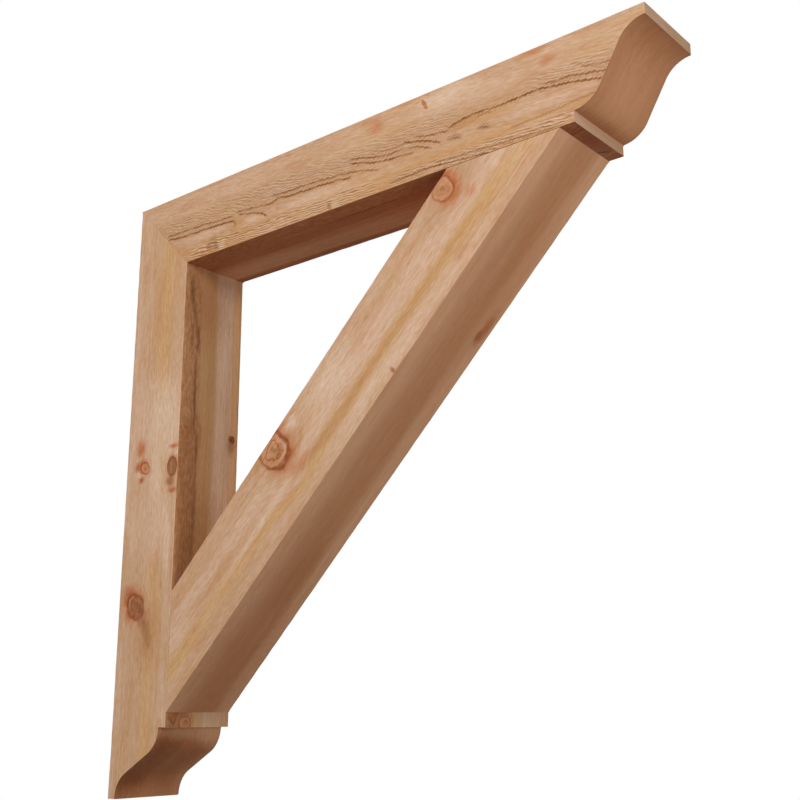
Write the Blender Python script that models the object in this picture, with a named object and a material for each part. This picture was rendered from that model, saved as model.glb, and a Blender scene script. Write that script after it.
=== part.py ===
"""A timber corbel bracket: a leg against the wall, an arm under the beam and a raking brace.

The three timbers lie in one upright plane. X runs out from the wall, Y across the bracket
and Z up. The origin is the middle of the face that lies against the wall. Metres.
"""

import math

import bmesh
import bpy
from mathutils import Vector

# Overall sizes of the bracket.
HEIGHT = 1.0668
PROJECTION = 1.0668
WIDTH = 0.1397
TOP = HEIGHT / 2
BOTTOM = -HEIGHT / 2

# Depth of each timber, measured across its length in the side view.
LEG_DEPTH = 0.1397
ARM_DEPTH = 0.1397
BRACE_DEPTH = 0.1397

# Where the outer corner of the brace lands, from the free end of the leg and of the arm.
FOOT_SETBACK = 0.1397
HEAD_SETBACK = 0.1397

# The stepped ogee cut into both free ends: its length along the timber, the square step
# where it starts, the blunt nose where it ends and how far each of its two arcs turns.
OGEE_LENGTH = 0.1159
OGEE_STEP = 0.0175
OGEE_NOSE = 0.0175
OGEE_TURN = math.radians(60)
ARC_SEGMENTS = 18

# Each joint is a tight fit, and this much air keeps the timbers separate solids.
JOINT_GAP = 0.0003

# The curved cuts are shaded smooth, and edges that turn by more than this stay sharp.
SMOOTH_ANGLE = math.radians(20)

LEG_COLOUR = (0.56, 0.34, 0.20, 1.0)
ARM_COLOUR = (0.58, 0.36, 0.21, 1.0)
BRACE_COLOUR = (0.59, 0.36, 0.23, 1.0)
WOOD_ROUGHNESS = 0.75


def clear_scene():
    """Removes every object of the startup scene."""
    for obj in list(bpy.data.objects):
        bpy.data.objects.remove(obj)


def wood(name, colour):
    """A matt sawn timber finish."""
    material = bpy.data.materials.new(name)
    material.use_nodes = True
    shader = material.node_tree.nodes["Principled BSDF"]
    shader.inputs["Base Color"].default_value = colour
    shader.inputs["Roughness"].default_value = WOOD_ROUGHNESS
    shader.inputs["Metallic"].default_value = 0.0
    return material


def ogee(depth):
    """The end cut's points as (across, along): across from the timber's back, along from its end.

    The curve leaves the nose along the timber, hollows, runs straight and swells back to the
    step. Both arcs have the same radius, found from the space that the cut has to fill.
    """
    half_across = (depth - OGEE_STEP - OGEE_NOSE) / 2
    half_along = OGEE_LENGTH / 2
    turned_across = 1 - math.cos(OGEE_TURN)
    turned_along = math.sin(OGEE_TURN)
    radius = (half_across * math.cos(OGEE_TURN) - half_along * math.sin(OGEE_TURN)) / (
        turned_across * math.cos(OGEE_TURN) - turned_along * math.sin(OGEE_TURN)
    )
    hollow = []
    for i in range(ARC_SEGMENTS + 1):
        angle = OGEE_TURN * i / ARC_SEGMENTS
        across = OGEE_NOSE + radius * (1 - math.cos(angle))
        hollow.append((across, radius * math.sin(angle)))
    far_across = depth - OGEE_STEP
    swell = [(OGEE_NOSE + far_across - a, OGEE_LENGTH - b) for a, b in reversed(hollow)]
    return hollow + swell


def mitre_relief(depth, other_depth):
    """How far along the timber half of the mitre's gap reaches, for a mitre across depth."""
    return JOINT_GAP / 2 * math.hypot(depth, other_depth) / depth


def leg_outline():
    """The leg as (x, z), from the back corner of its lower end."""
    relief = mitre_relief(LEG_DEPTH, ARM_DEPTH)
    return [
        (0, 0),
        *ogee(LEG_DEPTH),
        (LEG_DEPTH, OGEE_LENGTH),
        (LEG_DEPTH, HEIGHT - ARM_DEPTH - relief),
        (0, HEIGHT - relief),
    ]


def arm_outline():
    """The arm as (x, z), from the upper corner of its free end, so x and z run negative."""
    relief = mitre_relief(ARM_DEPTH, LEG_DEPTH)
    return [
        (0, 0),
        *[(-along, -across) for across, along in ogee(ARM_DEPTH)],
        (-OGEE_LENGTH, -ARM_DEPTH),
        (LEG_DEPTH + relief - PROJECTION, -ARM_DEPTH),
        (relief - PROJECTION, 0),
    ]


def brace_rake():
    """Length of the brace's outer edge and its angle above the horizontal."""
    rise = HEIGHT - ARM_DEPTH - FOOT_SETBACK
    reach = PROJECTION - LEG_DEPTH - HEAD_SETBACK
    return math.hypot(reach, rise), math.atan2(rise, reach)


def brace_outline():
    """The brace as (x, z) lying level: x from its foot along its outer edge, z towards the wall."""
    length, rake = brace_rake()
    foot_gap = JOINT_GAP / math.cos(rake)
    head_gap = JOINT_GAP / math.sin(rake)
    foot_slant = BRACE_DEPTH * math.tan(rake)
    head_slant = BRACE_DEPTH / math.tan(rake)
    return [
        (foot_gap, 0),
        (length - head_gap, 0),
        (length - head_gap - head_slant, BRACE_DEPTH),
        (foot_gap + foot_slant, BRACE_DEPTH),
    ]


def timber(name, outline, material, parent, location, rake=0.0):
    """Sweeps a side outline across the bracket's width and places it on its parent."""
    bm = bmesh.new()
    corners = [bm.verts.new((x, -WIDTH / 2, z)) for x, z in outline]
    side = bm.faces.new(corners)
    swept = bmesh.ops.extrude_face_region(bm, geom=[side])["geom"]
    moved = [v for v in swept if isinstance(v, bmesh.types.BMVert)]
    bmesh.ops.translate(bm, vec=(0, WIDTH, 0), verts=moved)
    bmesh.ops.recalc_face_normals(bm, faces=bm.faces)
    mesh = bpy.data.meshes.new(name)
    bm.to_mesh(mesh)
    bm.free()
    mesh.shade_smooth()
    mesh.set_sharp_from_angle(angle=SMOOTH_ANGLE)
    mesh.materials.append(material)
    obj = bpy.data.objects.new(name, mesh)
    obj.parent = parent
    obj.location = location
    obj.rotation_euler = (0, -rake, 0)
    bpy.context.scene.collection.objects.link(obj)
    return obj


def build():
    """Makes the bracket's three timbers."""
    clear_scene()
    wall_face = bpy.data.objects.new("wall_face", None)
    bpy.context.scene.collection.objects.link(wall_face)
    _, rake = brace_rake()
    timber("leg", leg_outline(), wood("leg_timber", LEG_COLOUR), wall_face, Vector((0, 0, BOTTOM)))
    timber("arm", arm_outline(), wood("arm_timber", ARM_COLOUR), wall_face, Vector((PROJECTION, 0, TOP)))
    foot = Vector((LEG_DEPTH, 0, BOTTOM + FOOT_SETBACK))
    timber("brace", brace_outline(), wood("brace_timber", BRACE_COLOUR), wall_face, foot, rake)


build()
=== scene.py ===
"""Dresses the timber corbel bracket: sawn timbers with knots, torn grain and coloured streaks.

Every timber is modelled in its own grain directions: u runs along the grain, v across the
side from the timber's straight edge, and w across the bracket's width. Metres throughout.
"""

import logging
import math
from dataclasses import dataclass, field
from enum import Enum

import bmesh
import bpy
from mathutils import Euler, Matrix, Vector, noise


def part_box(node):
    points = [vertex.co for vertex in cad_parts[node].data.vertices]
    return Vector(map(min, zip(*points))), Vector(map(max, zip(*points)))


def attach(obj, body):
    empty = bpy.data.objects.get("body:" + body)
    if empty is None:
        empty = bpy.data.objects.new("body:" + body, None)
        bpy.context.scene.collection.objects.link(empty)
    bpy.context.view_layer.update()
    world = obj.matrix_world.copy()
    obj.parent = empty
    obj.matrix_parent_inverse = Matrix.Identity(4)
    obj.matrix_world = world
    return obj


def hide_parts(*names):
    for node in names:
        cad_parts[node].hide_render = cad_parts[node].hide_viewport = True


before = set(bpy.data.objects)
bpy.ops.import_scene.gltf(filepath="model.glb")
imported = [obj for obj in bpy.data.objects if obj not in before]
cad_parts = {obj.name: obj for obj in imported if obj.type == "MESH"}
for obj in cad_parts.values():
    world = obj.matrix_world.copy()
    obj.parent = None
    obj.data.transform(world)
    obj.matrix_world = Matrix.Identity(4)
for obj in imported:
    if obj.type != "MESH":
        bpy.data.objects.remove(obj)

log = logging.getLogger("bracket")
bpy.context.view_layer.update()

# The end cut of the leg and the arm, as the solids have it.
OGEE_LENGTH = 0.1159
OGEE_STEP = 0.0175
OGEE_NOSE = 0.0175
OGEE_TURN = math.radians(60)
ARC_SEGMENTS = 40

# Sorts lattice lines and faces that lie exactly on a limit, and lengths that do.
NEARLY = 1e-4
ROUNDING = NEARLY / 1000

# Edges that turn by more than this stay sharp.
SHARP_ANGLE = math.radians(42)


class Tone(Enum):
    """The wood's colours as a colour card gives them, eight bits for red, green and blue."""

    MILK = (230, 201, 174)
    PALE = (216, 187, 162)
    BLUSH = (206, 170, 142)
    SAND = (196, 158, 125)
    STRAW = (198, 157, 111)
    HONEY = (192, 146, 99)
    TAN = (189, 149, 115)
    FAWN = (182, 141, 106)
    OCHRE = (182, 133, 90)
    ROSE = (210, 160, 127)
    CREAM = (230, 182, 134)
    PEACH = (219, 169, 131)
    CORAL = (205, 148, 109)
    CLAY = (194, 138, 98)
    CHESTNUT = (173, 112, 73)
    AMBER = (184, 112, 66)
    EMBER = (168, 86, 48)
    HAZEL = (138, 82, 47)
    TOBACCO = (134, 86, 44)
    RUSSET = (146, 80, 48)
    UMBER = (120, 76, 48)
    BARK = (80, 50, 33)

    @property
    def rgba(self) -> tuple[float, float, float, float]:
        """The colour as light, for a shader."""
        light = [((c / 255 + 0.055) / 1.055) ** 2.4 for c in self.value]
        return (light[0], light[1], light[2], 1.0)


class Face(Enum):
    """The faces of a timber that take a finish of their own.

    The sides look across the bracket, the edges lie between them, and the free end has a
    curved cut and square ones.
    """

    SIDE = 0
    EDGE = 1
    CURVE = 2
    SQUARE = 3


def smooth(value: float, low: float, high: float) -> float:
    """A soft step from 0 at low to 1 at high."""
    share = min(1.0, max(0.0, (value - low) / (high - low)))
    return share * share * (3 - 2 * share)


def ripple(u: float, c: float, along: float, across: float, seed: float) -> float:
    """Smooth noise from 0 to 1, with so many waves per metre along and across the grain."""
    return 0.5 + 0.5 * noise.noise((u * along, c * across, seed))


@dataclass(frozen=True)
class Grain:
    """Where a timber lies: its origin and the directions that u and v run in.

    w always runs along the bracket's width, from the near side at its lowest value.
    """

    origin: Vector
    along: Vector
    across: Vector

    def place(self, u: float, v: float, w: float) -> Vector:
        """The point in the bracket's frame for a point in the timber."""
        return self.origin + self.along * u + self.across * v + Vector((0, w, 0))


@dataclass
class Cut:
    """What the saw did at one point of a face.

    depth is how deep it cut. off is how far the point lies past the nearest tear's line and
    torn how strong that tear is. ridge counts a washboard's ridges, a whole number at the
    foot of each, and ridged is how strongly the painted shade at their feet and the painted
    highlight on their crests show.
    """

    depth: float = 0.0
    off: float = 0.0
    torn: float = 0.0
    ridge: float = 0.0
    ridged: float = 0.0


@dataclass(frozen=True)
class Tear:
    """A line where the saw tore the grain: the face drops below it and shelves back out.

    course holds (u, v) points along the line, depth is the drop, shelf its reach in v and
    band how far its colour marks reach on both sides of the line: painted shadow along the
    line on darker torn fibres, an ochre fringe, and a pale lip of painted highlight above it.
    The line strays by wander, the face drops across wall, and the tear fades in and out over
    fades. A tear as deep as full_depth is marked at full strength.
    """

    course: tuple[tuple[float, float], ...]
    depth: float
    shelf: float = 0.009
    band: float = 0.0055
    wander: float = 0.0016
    wall: tuple[float, float] = (-0.0012, 0.0003)
    fades: tuple[float, float] = (0.012, 0.008)
    full_depth: float = 0.0010

    def mark(self, cut: Cut, u: float, v: float) -> None:
        """Adds what the tear does at a point of the side.

        Args:
            cut: The cut at that point so far.
            u: Place along the grain.
            v: Place across it.
        """
        first, last = self.course[0][0], self.course[-1][0]
        if not first < u < last:
            return
        for (u0, v0), (u1, v1) in zip(self.course, self.course[1:]):
            if u <= u1:
                line = v0 + (v1 - v0) * (u - u0) / (u1 - u0)
                break
        off = v - line - self.wander * noise.noise((u * 70, line * 9, 3.1))
        if not -self.band < off < self.shelf:
            return
        fade = smooth(u, first, first + self.fades[0]) * (1 - smooth(u, last - self.fades[1], last))
        fade *= 0.6 + 0.5 * smooth(ripple(u, line, 65, 40, 9.2), 0.25, 0.6)
        wall = smooth(off, *self.wall) * fade
        cut.depth = max(cut.depth, self.depth * wall * (1 - smooth(off, 0.0, self.shelf)))
        # How strongly the tear's colour marks show, its painted shadow and painted highlight among them.
        torn = fade * (1 - smooth(abs(off), 0.7 * self.band, self.band))
        torn *= min(1.0, self.depth / self.full_depth)
        if torn > cut.torn:
            cut.off, cut.torn = off, torn


@dataclass(frozen=True)
class Washboard:
    """A stretch of a side where the grain stands in rows of short slanted ridges.

    It runs from start to end in u and from low to high in v, and fades in and out over ends
    and borders. depth is the ridges' height, and strength how strong the painted shade at their
    feet and the painted highlight on their crests are. pitch is the space between rows, dash a
    ridge's length with its gap, slant how steeply it crosses its row, and lean how steeply the
    rows cross the grain.
    """

    start: float
    end: float
    low: float
    high: float
    depth: float
    strength: float = 1.0
    pitch: float = 0.0038
    dash: float = 0.030
    slant: float = 0.10
    lean: float = 0.05
    ends: tuple[float, float] = (0.04, 0.06)
    borders: tuple[float, float] = (0.008, 0.004)

    def mark(self, cut: Cut, u: float, v: float) -> None:
        """Adds what the ridges do at a point of the side, as a tear does."""
        inside = smooth(u, self.start, self.start + self.ends[0])
        inside *= 1 - smooth(u, self.end - self.ends[1], self.end)
        inside *= smooth(v, self.low, self.low + self.borders[0])
        inside *= 1 - smooth(v, self.high - self.borders[1], self.high)
        if inside <= 0:
            return
        wander = 1.2 * noise.noise((u * 16, v * 40, 5.5)) + 0.5 * noise.noise((u * 70, v * 150, 1.5))
        row = (v - self.lean * u) / self.pitch + wander
        number = math.floor(row)
        place = (u / self.dash + 0.37 * number + 0.9 * noise.noise((u * 14, number * 3.1, 2.2))) % 1.0
        cut.ridge = row - self.slant * self.dash * (place - 0.5) / self.pitch
        phase = cut.ridge - math.floor(cut.ridge)
        ends = smooth(place, 0.0, 0.2) * (1 - smooth(place, 0.8, 1.0))
        # How strongly this ridge's painted shade and painted highlight show.
        cut.ridged = self.strength * inside * ends * (0.35 + ripple(u, number, 30, 7.7, 8.8))
        cut.depth += self.depth * inside * (1 - phase) * smooth(phase, 0.0, 0.25)


@dataclass(frozen=True)
class Sawing:
    """How rough the saw left a face: its fibres, its waves and what it tore."""

    fibre: float = 0.00016
    wave: float = 0.00022
    tears: tuple[Tear, ...] = ()
    boards: tuple[Washboard, ...] = ()

    def cut(self, u: float, c: float, seed: float) -> Cut:
        """The carving at a point of a face.

        Args:
            u: Place along the grain.
            c: Place across the face.
            seed: Picks this face's own noise.

        Returns:
            What the saw did there.
        """
        cut = Cut(self.fibre * ripple(u, c, 70, 330, seed) + self.wave * ripple(u, c, 8, 60, seed + 4))
        for mark in (*self.tears, *self.boards):
            mark.mark(cut, u, c)
        return cut


@dataclass(frozen=True)
class Mark:
    """An ellipse on one kind of face.

    u and c are its middle, where c is v on a side and w on an edge. long and wide are half
    its size along and across the grain, and lean turns it. It lies on the near side or the
    inner edge, or with opposite on the far side or the outer edge.
    """

    u: float
    c: float
    long: float
    wide: float
    lean: float = field(default=0.0, kw_only=True)
    opposite: bool = field(default=False, kw_only=True)


@dataclass(frozen=True)
class Knot(Mark):
    """Where a branch was cut through: a heart with its own rings inside a dark rim.

    rim is the strength of the rim, which is strongest towards one angle, and glow how much
    resin has stained the wood around it. press is how far the grain round it is pressed aside.
    rings is the strength of the heart's rings, and crescent that of the pale crescent band inside
    the rim, on the side that the rim is strongest.
    """

    heart: Tone = Tone.CHESTNUT
    rim_tone: Tone = Tone.RUSSET
    rim: float = 0.9
    towards: float = 0.0
    glow: float = 0.4
    press: float = 0.7
    rings: float = 0.6
    crescent: float = 0.0


@dataclass(frozen=True)
class Smudge(Mark):
    """A patch of another colour with soft, ragged ends."""

    tone: Tone = Tone.AMBER
    strength: float = 0.7


@dataclass(frozen=True)
class Strand:
    """One layer of fibres: so many waves per metre along and across, and how much it shades."""

    along: float
    across: float
    amount: float


# The fibres of the sides, the quieter ones of the other faces, and the coarse ones of the
# edges' near third.
ROUGH = (
    Strand(12, 32, 0.20),
    Strand(6, 170, 0.22),
    Strand(80, 260, 0.36),
    Strand(34, 1100, 0.20),
    Strand(60, 480, 0.70),
)
EVEN = (
    Strand(8, 30, 0.14),
    Strand(5, 150, 0.20),
    Strand(70, 260, 0.18),
    Strand(30, 1000, 0.14),
    Strand(40, 420, 0.14),
)
SHORT = Strand(80, 210, 1.3)
SHORT_END = (-0.036, -0.026)

# The wood's surface: its shine, how rough it is where the fibres are low and high, and the
# height of the fine fibres.
SHINE = 0.3
ROUGHNESS = (0.9, 0.7)
BUMP_STRENGTH = 0.5
BUMP_HEIGHT = 0.0008

# How closely the growth rings follow each other, as noise waves per metre, and how far
# they bend.
YEARS = 230.0
YEARS_BEND = 0.02

# Where the marks of a tear lie, as distances past its line: the dark core, painted shadow
# under the tear's ledge on darker torn fibres, and its ochre fringe fade out over theirs, the
# pale lip, a painted highlight on the raised edge above the line, rises and falls, and the
# echo is a thin dark line beside it.
CORE_SHADOW_AND_FIBRE = (0.0006, 0.0023)
FRINGE = (0.0016, 0.0038)
LIP_HIGHLIGHT = ((-0.0042, -0.0028), (-0.0026, -0.0014))
ECHO_PLACE = 0.0050
ECHO = (0.0002, 0.0012)

# The saw-toothed swing of a tear's line, and how far it frays.
TEETH_PER_METRE = 120.0
TOOTH = 0.0022
FRAY = 0.0030

# Where a ridge's dark foot of painted shade and its pale crest of painted highlight lie, as
# shares of its row.
FOOT_SHADE = ((0.0, 0.12), (0.3, 0.6))
CREST_HIGHLIGHT = ((0.55, 0.7), (0.85, 1.0))

# Where a knot's parts lie, its rim at 1: the dark centre, the pale crescent band, the heart,
# the rim, the red halo and the stain of resin.
CENTRE = (0.06, 0.32)
CRESCENT_BAND = ((0.60, 0.70), (0.76, 0.86))
HEART = (0.94, 1.02)
RIM = ((0.84, 0.93), (1.02, 1.16))
HALO = ((0.9, 1.0), (1.0, 1.4))
STAIN = (0.95, 2.1)

# The mesh attributes that carry what the saw did to the material, which lays painted shade
# and painted highlight along the tears and ridges from them.
CUT_LAYERS = ("off", "torn", "ridge", "ridged")


class Graph:
    """Short calls for the nodes of one node tree."""

    def __init__(self, tree: bpy.types.NodeTree) -> None:
        """Starts on a node tree that may hold nodes already."""
        self.tree = tree

    def node(self, kind: str, inputs: dict | None = None, **settings: object) -> bpy.types.Node:
        """Adds a node.

        Args:
            kind: The node's type name without the leading ShaderNode.
            inputs: Sockets by name or number, each with a value or a socket to link.
            **settings: The node's own settings.

        Returns:
            The new node.
        """
        made = self.tree.nodes.new("ShaderNode" + kind)
        for name, value in settings.items():
            setattr(made, name, value)
        for name, value in (inputs or {}).items():
            if isinstance(value, Tone):
                value = value.rgba
            if isinstance(value, bpy.types.NodeSocket):
                self.tree.links.new(value, made.inputs[name])
            else:
                made.inputs[name].default_value = value
        return made

    def maths(self, operation: str, *terms: object) -> bpy.types.NodeSocket:
        """The result of a Math node on two or three numbers or sockets."""
        return self.node("Math", dict(enumerate(terms)), operation=operation).outputs[0]

    def vector(self, operation: str, *terms: object) -> bpy.types.NodeSocket:
        """The vector that a Vector Math node makes."""
        return self.node("VectorMath", dict(enumerate(terms)), operation=operation).outputs[0]

    def measure(self, operation: str, *terms: object) -> bpy.types.NodeSocket:
        """The number that a Vector Math node makes, such as a length or a dot product."""
        return self.node("VectorMath", dict(enumerate(terms)), operation=operation).outputs[1]

    def scaled(self, vector: object, factor: object) -> bpy.types.NodeSocket:
        """A vector or colour times a number."""
        return self.node("VectorMath", {0: vector, "Scale": factor}, operation="SCALE").outputs[0]

    def fine(
        self, place: object, waves: tuple, detail: float = 3.0, shift: float = 0.0
    ) -> bpy.types.NodeSocket:
        """Noise round 0.5 with so many waves per metre along u, v and w.

        Args:
            place: Where to read it.
            waves: Waves per metre on each axis.
            detail: How many finer layers it has.
            shift: Moves it, so that two layers of one size differ.

        Returns:
            The noise's socket.
        """
        spread = self.vector("MULTIPLY_ADD", place, waves, (shift, shift, shift))
        return self.node("TexNoise", {"Vector": spread, "Scale": 1.0, "Detail": detail}).outputs["Fac"]

    def ease(self, value: object, low: float, high: float, bottom: object = 0.0, top: object = 1.0) -> object:
        """Maps value from low..high to bottom..top with soft ends, held at both."""
        inputs = {"Value": value, "From Min": low, "From Max": high, "To Min": bottom, "To Max": top}
        return self.node("MapRange", inputs, interpolation_type="SMOOTHSTEP").outputs[0]

    def between(self, value: object, rise: tuple[float, float], fall: tuple[float, float]) -> object:
        """A band that is 1 between two soft steps, up over rise and down over fall."""
        return self.product(self.ease(value, *rise), self.ease(value, *fall, 1.0, 0.0))

    def swayed(self, value: object, layer: object, swing: float) -> bpy.types.NodeSocket:
        """A number moved by a layer of noise round 0.5, by up to half the swing each way."""
        return self.maths("ADD", value, self.maths("MULTIPLY_ADD", layer, swing, -swing / 2))

    def product(self, *factors: object) -> object:
        """The product of several numbers or sockets."""
        result = factors[0]
        for factor in factors[1:]:
            result = self.maths("MULTIPLY", result, factor)
        return result

    def mix(self, factor: object, first: object, second: object) -> bpy.types.NodeSocket:
        """Mixes two colours, each a socket or a Tone."""
        return self.node("Mix", {0: factor, 6: first, 7: second}, data_type="RGBA").outputs[2]

    def vary(self, colour: object, layer: object, amount: float) -> bpy.types.NodeSocket:
        """Shades a colour by a layer of noise round 0.5, its blue the most, so that the dark is warm."""
        spread = [amount * share for share in (0.6, 1.0, 1.7)]
        shade = self.vector("MULTIPLY_ADD", layer, spread, [1 - s / 2 for s in spread])
        return self.vector("MULTIPLY", colour, shade)

    def stripes(self, place: object, stops: tuple[tuple[float, Tone], ...]) -> bpy.types.NodeSocket:
        """Colours that change softly across a face, from (place, tone) pairs."""
        made = self.node("ValToRGB", {0: place})
        ramp = made.color_ramp
        ramp.interpolation = "EASE"
        while len(ramp.elements) < len(stops):
            ramp.elements.new(0.5)
        for element, (at, tone) in zip(ramp.elements, stops):
            element.position = at
            element.color = tone.rgba
        return made.outputs[0]


def knot_field() -> bpy.types.NodeTree:
    """The node group that every knot shares.

    Returns:
        A group that takes a place and the knot's centre, turn, half sizes and press. It gives
        the place with the grain pressed round the knot, the place seen from the knot with its
        rim at length 1, and that length.
    """
    found = bpy.data.node_groups.get("knot_field")
    if found:
        return found
    group = bpy.data.node_groups.new("knot_field", "ShaderNodeTree")
    for name in ("Place", "Centre", "Turn", "Half"):
        group.interface.new_socket(name, in_out="INPUT", socket_type="NodeSocketVector")
    group.interface.new_socket("Press", in_out="INPUT", socket_type="NodeSocketFloat")
    for name in ("Place", "Local"):
        group.interface.new_socket(name, in_out="OUTPUT", socket_type="NodeSocketVector")
    group.interface.new_socket("Reach", in_out="OUTPUT", socket_type="NodeSocketFloat")
    graph = Graph(group)
    given = group.nodes.new("NodeGroupInput").outputs
    inputs = {"Vector": given[0], "Location": given[1], "Rotation": given[2], "Scale": given[3]}
    even = graph.node("Mapping", inputs, vector_type="TEXTURE").outputs[0]
    waves = graph.vector("MULTIPLY", given[0], (45, 60, 60))
    uneven = graph.node("TexNoise", {"Vector": waves, "Scale": 1.0, "Detail": 0.6}).outputs["Color"]
    uneven = graph.scaled(graph.vector("SUBTRACT", uneven, (0.5, 0.5, 0.5)), 0.5)
    local = graph.vector("ADD", even, uneven)
    reach = graph.measure("LENGTH", local)
    press = graph.product(graph.ease(graph.measure("LENGTH", even), 0.2, 3.6, -1.0, 0.0), given[4])
    aside = graph.scaled(graph.vector("SUBTRACT", given[0], given[1]), press)
    moved = graph.vector("MULTIPLY", aside, (0.25, 1, 1))
    result = group.nodes.new("NodeGroupOutput").inputs
    group.links.new(graph.vector("ADD", given[0], moved), result[0])
    group.links.new(local, result[1])
    group.links.new(reach, result[2])
    return group


@dataclass(frozen=True)
class WoodFinish:
    """Unfinished sawn softwood on one kind of face of one timber.

    stripes are the tones across the face, and back_stripes those of the outer edge where it
    differs. warm and pale are what the wood drifts to in patches, mottle strong, and flecks
    is the strength of the small warm ones. The fibres run at a slant to the face. The growth
    rings are counted from the pith at (v, w), which slants by slope along the timber. torn
    says that the face has tears and washboards, with painted shade and highlight along them,
    and coarse that an edge's near third is rough.
    """

    name: str
    grain: Grain
    face: Face
    extent: tuple[float, float]
    stripes: tuple[tuple[float, Tone], ...]
    back_stripes: tuple[tuple[float, Tone], ...] = ()
    marks: tuple[Mark, ...] = ()
    strands: tuple[Strand, ...] = ROUGH
    warm: Tone = Tone.HONEY
    pale: Tone = Tone.BLUSH
    mottle: float = 0.5
    flecks: float = 0.26
    slant: float = 0.0
    torn: bool = False
    coarse: bool = False
    drift: float = 0.14
    pith: tuple[float, float] = (-0.06, 0.02)
    slope: float = 0.0
    rings: float = 0.10
    ring_tone: Tone = Tone.FAWN

    def material(self) -> bpy.types.Material:
        """Builds the finish.

        Returns:
            A material that reads the place in the bracket's frame and what the saw did there.
        """
        made = bpy.data.materials.new(self.name)
        made.use_nodes = True
        graph = Graph(made.node_tree)
        shader = made.node_tree.nodes["Principled BSDF"]
        straight = self._place(graph)
        wander = graph.maths("MULTIPLY_ADD", graph.fine(straight, (3, 12, 12), 2.0), 0.014, -0.007)
        place = graph.vector("ADD", straight, graph.node("CombineXYZ", {1: wander, 2: wander}).outputs[0])
        knots = []
        for mark in self.marks:
            if isinstance(mark, Knot):
                field = self._field(graph, place, mark)
                place = field[0]
                knots.append((mark, field))
        colour = self._ground(graph, straight, place)
        ragged = graph.fine(straight, self._waves(90, 260), 4.0)
        for mark in self.marks:
            if isinstance(mark, Smudge):
                colour = self._stain(graph, colour, straight, ragged, mark)
        for mark, field in knots:
            colour = self._knot(graph, colour, field, mark)
        along = graph.node("SeparateXYZ", {0: place}).outputs[0]
        aside = graph.node("CombineXYZ", {1: graph.maths("MULTIPLY", along, -self.slant)}).outputs[0]
        slanted = graph.vector("ADD", place, aside) if self.slant else place
        layers = [
            graph.fine(slanted, self._waves(strand.along, strand.across), 3.0, number)
            for number, strand in enumerate(self.strands)
        ]
        for layer, strand in zip(layers, self.strands):
            colour = graph.vary(colour, layer, strand.amount)
        # The tears and ridges take painted shade and painted highlight.
        if self.torn:
            colour = self._tear_colour_and_painted_light(graph, colour, straight)
        if self.coarse:
            short = graph.fine(place, self._waves(SHORT.along, SHORT.across), 3.0, 9.0)
            across = graph.node("SeparateXYZ", {0: place}).outputs[2]
            inside = graph.ease(across, *SHORT_END, 1.0, 0.15)
            short = graph.maths("MULTIPLY_ADD", graph.maths("SUBTRACT", short, 0.5), inside, 0.5)
            colour = graph.vary(colour, short, SHORT.amount)
        graph.tree.links.new(colour, shader.inputs["Base Color"])
        graph.tree.links.new(graph.ease(layers[2], 0.25, 0.75, *ROUGHNESS), shader.inputs["Roughness"])
        shader.inputs["Specular IOR Level"].default_value = SHINE
        height = graph.maths("MULTIPLY_ADD", layers[3], 0.5, layers[2])
        bump = graph.node("Bump", {"Height": height, "Strength": BUMP_STRENGTH, "Distance": BUMP_HEIGHT})
        graph.tree.links.new(bump.outputs[0], shader.inputs["Normal"])
        return made

    def _place(self, graph: Graph) -> bpy.types.NodeSocket:
        """The place in the timber as (u, v, w)."""
        place = graph.node("TexCoord").outputs["Object"]
        from_origin = graph.vector("SUBTRACT", place, tuple(self.grain.origin))
        u = graph.measure("DOT_PRODUCT", from_origin, tuple(self.grain.along))
        v = graph.measure("DOT_PRODUCT", from_origin, tuple(self.grain.across))
        w = graph.measure("DOT_PRODUCT", from_origin, (0, 1, 0))
        return graph.node("CombineXYZ", {0: u, 1: v, 2: w}).outputs[0]

    def _waves(self, along: float, across: float) -> tuple[float, float, float]:
        """Waves per metre on u, v and w for a pattern that follows the face's own lines."""
        if self.face is Face.CURVE:
            return (along, along, across)
        if self.face is Face.SQUARE:
            return (across, across, along)
        return (along, across, across)

    def _ellipse(self, mark: Mark, reach: float) -> tuple[tuple, tuple, tuple]:
        """A mark's centre, turn and half sizes in (u, v, w), reaching so deep into the timber."""
        if self.face is Face.SIDE:
            level = self.extent[1] / 2 * (1 if mark.opposite else -1)
            return (mark.u, mark.c, level), (0, 0, mark.lean), (mark.long, mark.wide, reach)
        reach = 1.0 if self.face is Face.CURVE else reach
        level = 0.0 if mark.opposite else self.extent[0]
        return (mark.u, level, mark.c), (0, -mark.lean, 0), (mark.long, reach, mark.wide)

    def _field(self, graph: Graph, place: object, knot: Knot) -> tuple:
        """A knot's pressed place, the place seen from it, and how far from it that is."""
        centre, turn, half = self._ellipse(knot, 0.04)
        inputs = {0: place, 1: centre, 2: turn, 3: half, 4: knot.press}
        field = graph.tree.nodes.new("ShaderNodeGroup")
        field.node_tree = knot_field()
        for number, value in inputs.items():
            if isinstance(value, bpy.types.NodeSocket):
                graph.tree.links.new(value, field.inputs[number])
            else:
                field.inputs[number].default_value = value
        return tuple(field.outputs)

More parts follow.
